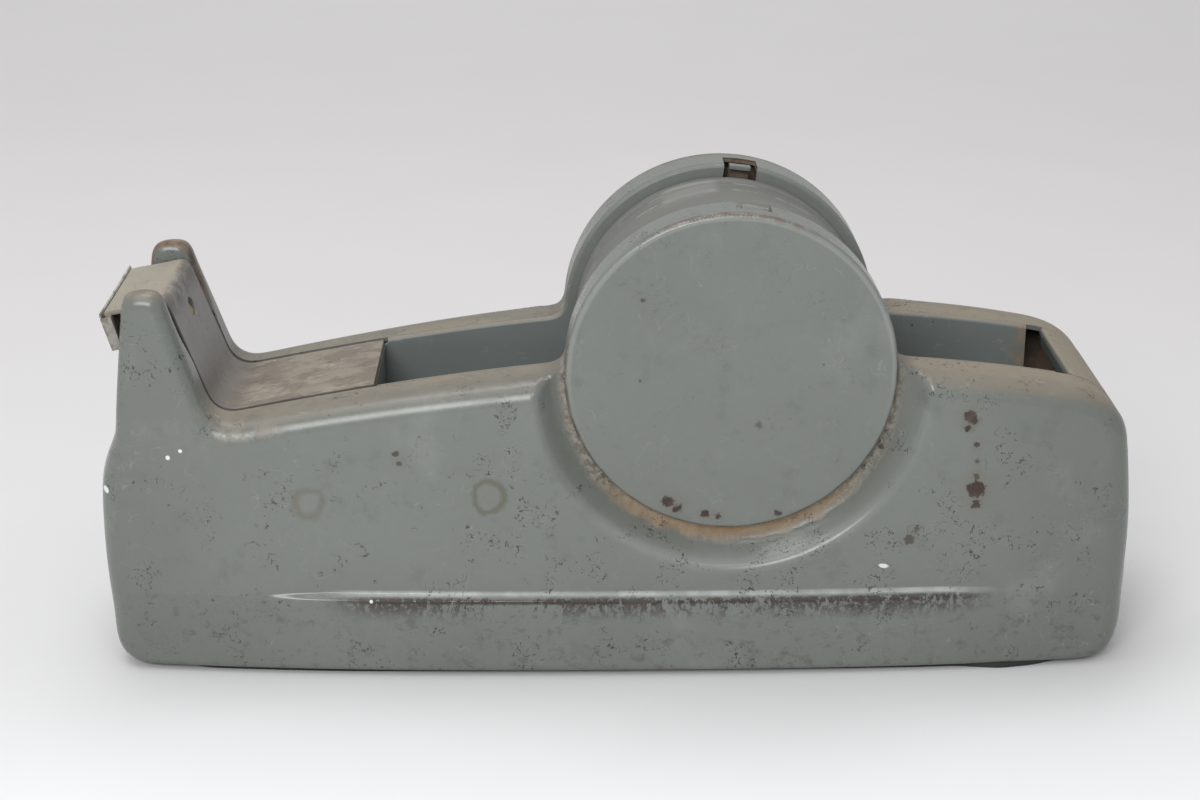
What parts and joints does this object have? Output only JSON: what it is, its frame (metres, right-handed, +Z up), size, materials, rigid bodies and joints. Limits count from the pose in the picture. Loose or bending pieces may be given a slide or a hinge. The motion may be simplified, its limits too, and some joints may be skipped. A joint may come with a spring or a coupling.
{
  "type": "desk tape dispenser",
  "caption": "Heavy pressed-steel desk tape dispenser with a lift-out drum hub for wide-core rolls, a deep open tape well and a serrated cutter on a bent nose plate.",
  "frame": {"origin": "middle of the base pad's flat underside, below the middle of the body's length", "axes": "+Z up; -X towards the cutter; +Y towards the dispenser's right-hand side as seen by a user who faces the cutter from the hub"},
  "size_m": [0.2626, 0.074, 0.12],
  "materials": {
    "shell_paint": "satin grey-green enamel, worn and spotted with rust",
    "well_paint": "blue-grey enamel, rusty at its edges",
    "hub_paint": "grey-green enamel with rub marks and specks of adhesive",
    "nose_paint": "worn enamel under tan dirt and old adhesive",
    "blade_steel": "dull steel with a soiled edge",
    "plain_steel": "plain turned steel",
    "brass": "tarnished brass",
    "iron": "rough cast",
    "pad_rubber": "dull sheet rubber"
  },
  "bodies": {
    "base": {"right_side_shell": "shell_paint", "left_side_shell": "shell_paint", "well_frame": "well_paint", "nose_plate": "nose_paint", "nose_bracket": "well_paint", "nose_rivet": "brass", "cutter_blade": "blade_steel", "front_strip": "shell_paint", "rear_strip": "shell_paint", "bottom_plate": "plain_steel", "base_pad": "pad_rubber", "front_ballast": "iron", "rear_ballast": "iron", "base_screw_1": "plain_steel", "base_screw_2": "plain_steel", "base_screw_3": "plain_steel", "base_screw_4": "plain_steel"},
    "carrier": {"axle": "plain_steel", "right_hanger": "nose_paint", "left_hanger": "nose_paint", "right_axle_clip": "plain_steel", "left_axle_clip": "plain_steel", "right_drag_washer": "plain_steel", "left_drag_washer": "plain_steel", "right_spacer": "plain_steel", "left_spacer": "plain_steel"},
    "hub_wheel": {"hub_sleeve": "hub_paint", "hub_tube": "plain_steel", "right_hub_disc": "well_paint", "left_hub_disc": "well_paint", "right_bush": "brass", "left_bush": "brass"}
  },
  "joints": [
    {"name": "hub_lift", "type": "slide", "parent": "base", "child": "carrier", "axis": [0.1219, 0, 0.9925], "range_m": [0, 0.088]},
    {"name": "hub_spin", "type": "hinge", "parent": "carrier", "child": "hub_wheel", "pos_m": [0.0277, 0, 0.079], "axis": [0, 1, 0], "continuous": true}
  ]
}
